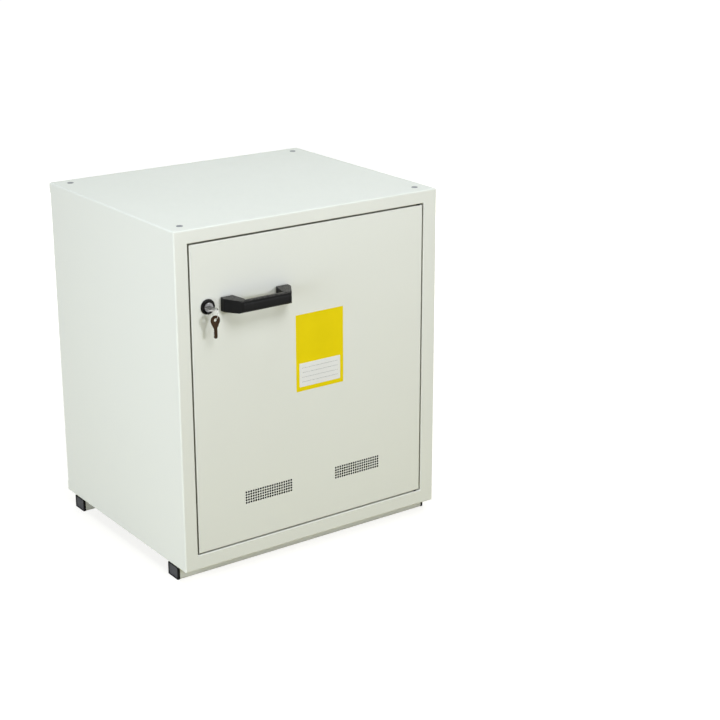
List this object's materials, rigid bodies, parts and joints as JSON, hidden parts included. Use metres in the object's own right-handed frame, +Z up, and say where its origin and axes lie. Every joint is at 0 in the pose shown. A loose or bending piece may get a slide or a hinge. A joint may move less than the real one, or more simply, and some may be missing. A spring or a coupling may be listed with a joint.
{
  "type": "ventilated safety cabinet",
  "caption": "Low double-walled steel safety cabinet on base rails, with a flush hinged door, vent grilles, bridge handle, cam lock with keys, tray shelf, sump tray and rear exhaust collar.",
  "frame": {"origin": "on the floor, under the middle of the box: the collar at the back reaches as far as the handle at the front", "axes": "+Z up, +Y from the door to the back, +X to the right for someone who faces the door"},
  "size_m": [0.57, 0.559, 0.6658],
  "materials": {
    "white_paint": "fine-textured white powder coat",
    "liner_paint": "smooth pale grey paint",
    "mineral_board": "raw mineral insulation board",
    "seal_rubber": "matt black rubber",
    "dark_steel": "blackened",
    "zinc_steel": "zinc plated",
    "galvanised_sheet": "galvanised sheet",
    "cap_plastic": "grey moulded plastic",
    "black_plastic": "black moulded plastic",
    "handle_plastic": "fine-grained black plastic",
    "rosette_plastic": "black lacquer",
    "lock_chrome": "satin chrome",
    "key_nickel": "nickel plated",
    "spare_brass": "dark bronze"
  },
  "bodies": {
    "carcass": {"side_panel_left": "white_paint", "side_panel_right": "white_paint", "top_panel": "white_paint", "bottom_panel": "white_paint", "back_panel": "white_paint", "frame_stile_latch": "white_paint", "frame_stile_hinge": "white_paint", "frame_rail_top": "white_paint", "frame_rail_bottom": "white_paint", "base_rail_front": "white_paint", "base_rail_rear": "white_paint", "liner_left": "liner_paint", "liner_right": "liner_paint", "liner_top": "liner_paint", "liner_floor": "liner_paint", "liner_back": "liner_paint", "insulation_left": "mineral_board", "insulation_right": "mineral_board", "insulation_top": "mineral_board", "insulation_bottom": "mineral_board", "insulation_back": "mineral_board", "door_seal": "seal_rubber", "pivot_bracket_top": "dark_steel", "pivot_bracket_bottom": "dark_steel", "runner_screws": "zinc_steel", "back_screws": "zinc_steel", "shelf_runner_left": "galvanised_sheet", "shelf_runner_right": "galvanised_sheet", "shelf_tray": "galvanised_sheet", "sump_tray": "galvanised_sheet", "exhaust_spigot": "galvanised_sheet", "spigot_flange": "galvanised_sheet", "top_caps": "cap_plastic", "rail_plugs": "black_plastic"},
    "lock": {"lock_plug": "lock_chrome", "lock_cam": "zinc_steel", "cam_screw": "zinc_steel"},
    "key": {"door_key": "key_nickel"},
    "ring": {"key_ring": "key_nickel"},
    "spare": {"spare_key": "spare_brass"},
    "door": {"door_skin": "white_paint", "door_insulation": "mineral_board", "door_liner": "liner_paint", "vent_sleeve_left": "black_plastic", "vent_sleeve_right": "black_plastic", "pivot_block_top": "black_plastic", "pivot_block_bottom": "black_plastic", "handle_leg_left": "handle_plastic", "handle_leg_right": "handle_plastic", "handle_grip": "handle_plastic", "handle_screws": "zinc_steel", "lock_rosette": "rosette_plastic", "lock_barrel": "lock_chrome", "lock_nut": "zinc_steel"}
  },
  "joints": [
    {"name": "door_swing", "type": "hinge", "parent": "carcass", "child": "door", "pos_m": [0.244, -0.2325, 0.345], "axis": [0, 0, 1], "range_deg": [0, 110]},
    {"name": "lock_turn", "type": "hinge", "parent": "door", "child": "lock", "pos_m": [-0.222, -0.2375, 0.522], "axis": [0, 1, 0], "range_deg": [0, 90]},
    {"name": "key_withdraw", "type": "slide", "parent": "lock", "child": "key", "axis": [0, -1, 0], "range_m": [0, 0.022]},
    {"name": "ring_swing", "type": "hinge", "parent": "key", "child": "ring", "pos_m": [-0.222, -0.2625, 0.522], "axis": [0, 1, 0], "range_deg": [-20, 20]},
    {"name": "spare_swing", "type": "hinge", "parent": "ring", "child": "spare", "pos_m": [-0.222, -0.2625, 0.5059], "axis": [0, 1, 0], "range_deg": [-45, 45]}
  ]
}
